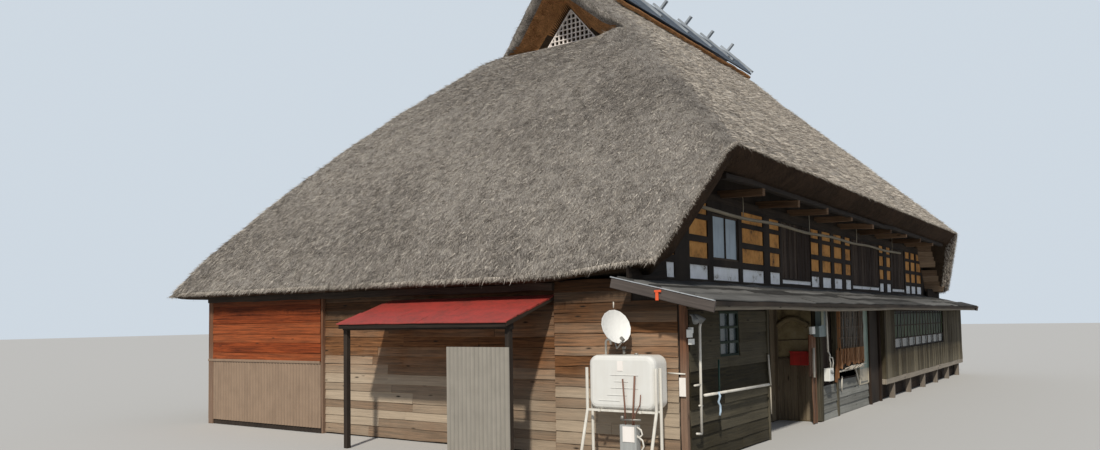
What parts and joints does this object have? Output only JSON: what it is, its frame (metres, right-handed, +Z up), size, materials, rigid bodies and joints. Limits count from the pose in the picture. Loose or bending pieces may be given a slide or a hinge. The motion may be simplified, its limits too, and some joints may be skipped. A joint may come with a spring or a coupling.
{
  "type": "thatched farmhouse",
  "caption": "Thatched timber farmhouse with a raised front eave, gablets at both ridge ends, a boarded lean-to along the front and board-clad walls.",
  "frame": {"origin": "middle of the bounding box at ground level", "axes": "+X along the ridge, towards the end away from the oil tank; -Y out of the front; +Z up"},
  "size_m": [22.7, 13.33, 11.0639],
  "materials": {
    "thatch": "weathered reed thatch",
    "dark_timber": "smoke-dark timber",
    "brown_boards": "weathered brown boards",
    "grey_wood": "silvery weathered wood",
    "red_boards": "reddish boards",
    "plaster": "earth plaster, lime-washed in the lowest row",
    "glass": "window glass in a timber frame",
    "ridge_metal": "slate-coloured folded sheet",
    "red_metal": "faded red painted sheet",
    "tan_metal": "beige-brown ribbed sheet",
    "white_enamel": "cream-white enamel",
    "pipe": "galvanised tube",
    "grey_sheet": "light grey sheet",
    "panel": "grey-green sheet"
  },
  "bodies": {
    "root": {"thatch_front": "thatch", "thatch_back": "thatch", "thatch_west": "thatch", "thatch_east": "thatch", "ridge_cover": "ridge_metal", "ridge_pole_and_crosses": "grey_wood", "west_gable_lattice": "grey_wood", "east_gable_lattice": "grey_wood", "upper_frame": "dark_timber", "upper_plaster": "plaster", "upper_window": "glass", "upper_shutter_west": "brown_boards", "upper_shutter_middle": "brown_boards", "upper_shutter_east": "brown_boards", "eave_arms_and_purlin": "brown_boards", "upper_frieze": "dark_timber", "hanging_pole": "pipe", "ground_floor": "brown_boards", "upper_floor": "brown_boards", "inner_frame": "dark_timber", "front_leanto_roof": "grey_wood", "west_bargeboard": "brown_boards", "east_bargeboard": "brown_boards", "front_frame": "dark_timber", "front_wall_west": "brown_boards", "front_window_west": "glass", "front_wall_middle": "brown_boards", "entrance_side_west": "plaster", "entrance_side_east": "plaster", "entrance_back_wall": "brown_boards", "entrance_door": "brown_boards", "bowed_beam": "brown_boards", "west_bay_lattice": "grey_wood", "plank_plinth": "grey_wood", "tall_panel": "panel", "east_bay_wall": "brown_boards", "east_bay_glass": "glass", "east_bay_sill": "brown_boards", "west_wall_south": "brown_boards", "west_wall_middle": "brown_boards", "west_wall_north": "red_boards", "sheet_skirt": "tan_metal", "back_wall": "brown_boards", "back_window_1": "glass", "back_window_2": "glass", "back_window_3": "glass", "east_wall": "brown_boards", "red_leanto_roof": "red_metal", "red_leanto_frame": "dark_timber", "grey_screen": "grey_sheet", "oil_tank": "white_enamel", "tank_stand": "pipe", "satellite_dish": "white_enamel", "dish_mount": "pipe", "letter_box": "red_metal"}
  },
  "joints": []
}
